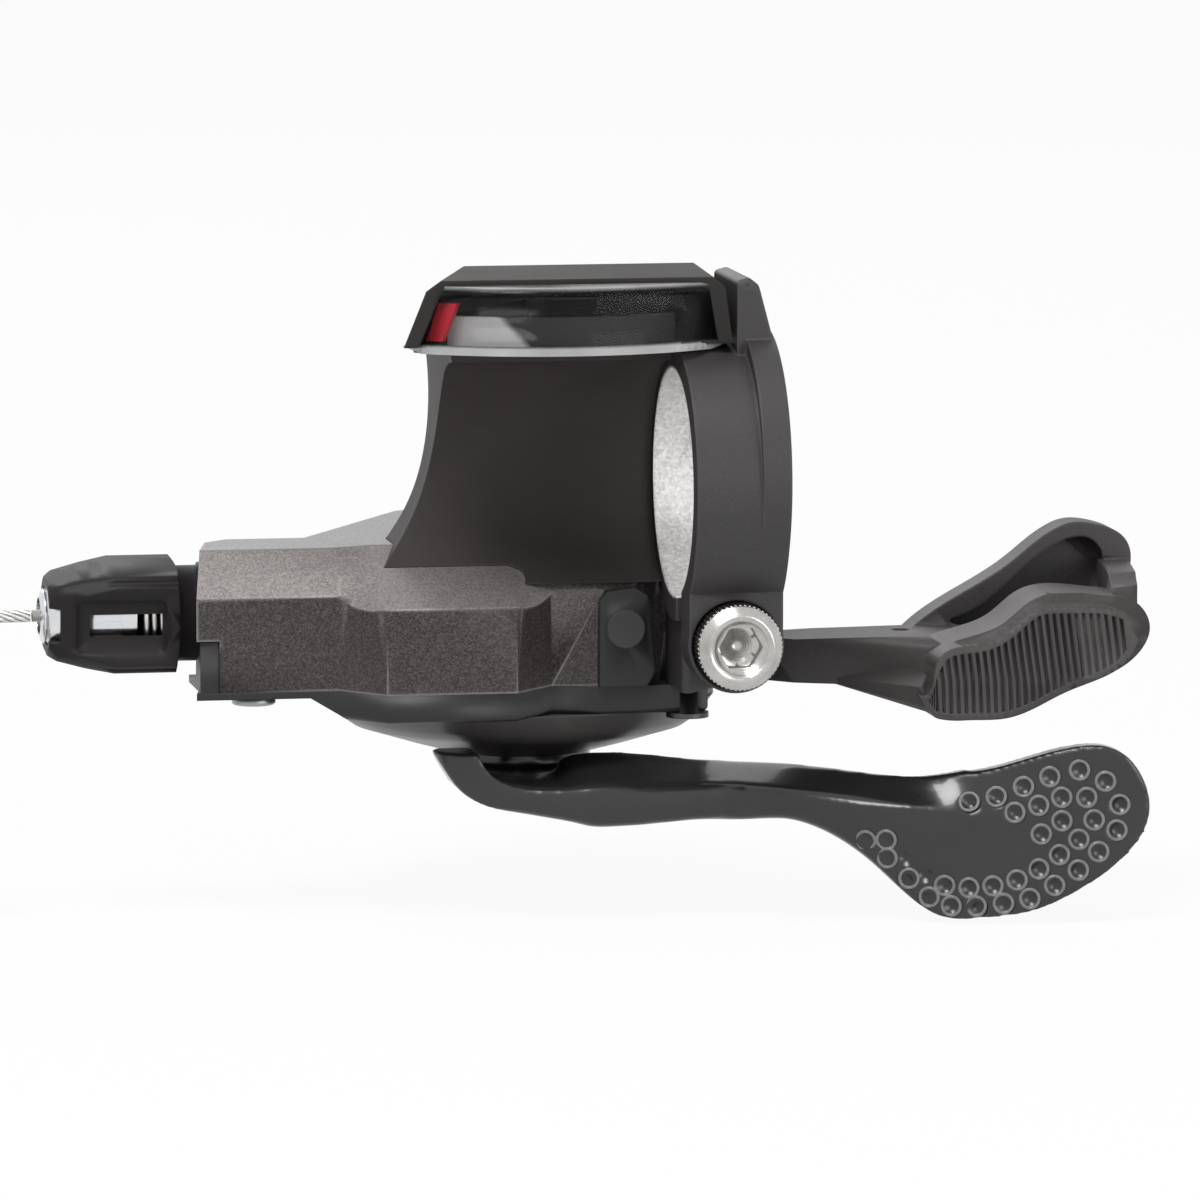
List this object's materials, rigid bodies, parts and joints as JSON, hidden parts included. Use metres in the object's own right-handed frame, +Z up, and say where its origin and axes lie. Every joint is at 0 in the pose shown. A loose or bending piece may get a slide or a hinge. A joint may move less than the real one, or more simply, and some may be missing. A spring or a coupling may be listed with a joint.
{
  "type": "bicycle gear shifter",
  "caption": "Right-hand trigger gear shifter for a flat handlebar: split bar clamp, faceted housing, gear window, cable adjuster, dimpled thumb lever and ribbed release lever.",
  "frame": {"origin": "centre of the handlebar clamp, on the handlebar's axis", "axes": "+X along the handlebar towards the grip, +Y forwards away from the rider, +Z up"},
  "size_m": [0.1436, 0.0574, 0.0636],
  "materials": {
    "clamp_black": "fine-grained black paint",
    "bolt_steel": "turned and polished",
    "screw_steel": "zinc plated",
    "cover_graphite": "graphite paint with fine metal flake",
    "base_black": "satin moulded",
    "neck_black": "satin moulded",
    "hood_black": "semi-gloss moulded",
    "lens_clear": "clear moulded plastic",
    "dial_black": "printed",
    "needle_red": "moulded in colour",
    "mechanism_steel": "stamped",
    "winder_resin": "filled resin",
    "spring_steel": "drawn wire",
    "knob_black": "satin moulded",
    "adjuster_chrome": "plated",
    "lever_black": "gloss black over forged alloy",
    "release_black": "grained moulded resin",
    "cable_steel": "stranded and drawn",
    "tie_black": "plain strap"
  },
  "bodies": {
    "unit": {"clamp_band": "clamp_black", "clamp_bolt": "bolt_steel", "bracket_screw": "screw_steel", "unit_cover": "cover_graphite", "base_plate": "base_black", "lower_cover": "base_black", "side_cap": "base_black", "port_screw": "screw_steel", "cover_screws": "screw_steel", "main_axle": "mechanism_steel", "axle_nut": "mechanism_steel", "hold_pin": "mechanism_steel", "lever_spring": "spring_steel", "winder_spring": "spring_steel", "display_neck": "neck_black", "display_cap": "hood_black", "display_lens": "lens_clear", "display_dial": "dial_black", "neck_screws": "screw_steel", "release_pin": "mechanism_steel", "shift_cable": "cable_steel", "cable_run": "cable_steel", "cable_coil": "cable_steel", "coil_tie": "tie_black"},
    "main_lever": {"main_lever": "lever_black", "lever_sleeve": "mechanism_steel", "drive_plate": "mechanism_steel", "feed_pin": "mechanism_steel"},
    "feed_pawl": {"feed_pawl": "mechanism_steel"},
    "release_lever": {"release_lever": "release_black"},
    "hold_pawl": {"hold_pawl": "mechanism_steel"},
    "winder": {"cable_winder": "winder_resin", "cable_head": "cable_steel", "ratchet_wheel": "mechanism_steel"},
    "needle": {"display_needle": "needle_red", "needle_shaft": "winder_resin"},
    "adjuster_knob": {"adjuster_knob": "knob_black", "adjuster_spring": "spring_steel"},
    "adjuster_bolt": {"adjuster_bolt": "adjuster_chrome"}
  },
  "joints": [
    {"name": "main_lever_push", "type": "hinge", "parent": "unit", "child": "main_lever", "pos_m": [-0.016, 0.024, -0.03175], "axis": [0, 0, 1], "range_deg": [0, 54], "stiffness_Nm_per_rad": 0.05, "deforming": ["lever_spring"]},
    {"name": "feed_pawl_swing", "type": "hinge", "parent": "main_lever", "child": "feed_pawl", "pos_m": [-0.03097, 0.02082, -0.01615], "axis": [0, 0, 1], "range_deg": [-5, 10], "stiffness_Nm_per_rad": 0.0005},
    {"name": "release_lever_swing", "type": "hinge", "parent": "unit", "child": "release_lever", "pos_m": [-0.0015, 0.017, -0.0188], "axis": [0, 0, 1], "range_deg": [-9, 9], "stiffness_Nm_per_rad": 0.05},
    {"name": "hold_pawl_swing", "type": "hinge", "parent": "unit", "child": "hold_pawl", "pos_m": [-0.00078, 0.0224, -0.01615], "axis": [0, 0, 1], "range_deg": [-5, 10], "stiffness_Nm_per_rad": 0.0005},
    {"name": "winder_turn", "type": "hinge", "parent": "unit", "child": "winder", "pos_m": [-0.016, 0.024, -0.0135], "axis": [0, 0, 1], "range_deg": [-162, 0], "deforming": ["shift_cable", "winder_spring"]},
    {"name": "needle_sweep", "type": "hinge", "parent": "unit", "child": "needle", "pos_m": [-0.016, 0.01325, 0], "axis": [0, 0, 1], "range_deg": [0, 70.5]},
    {"name": "adjuster_turn", "type": "hinge", "parent": "unit", "child": "adjuster_knob", "pos_m": [-0.057, 0.0132, -0.0135], "axis": [-1, 0, 0], "range_deg": [0, 1440]},
    {"name": "adjuster_travel", "type": "slide", "parent": "adjuster_knob", "child": "adjuster_bolt", "axis": [-1, 0, 0], "range_m": [0, 0.0032], "deforming": ["adjuster_spring"]}
  ],
  "couplings": [
    {"joint": "needle_sweep", "follows": "winder_turn", "ratio": -0.43333},
    {"joint": "adjuster_turn", "follows": "adjuster_travel", "rad_per_m": 7854}
  ]
}
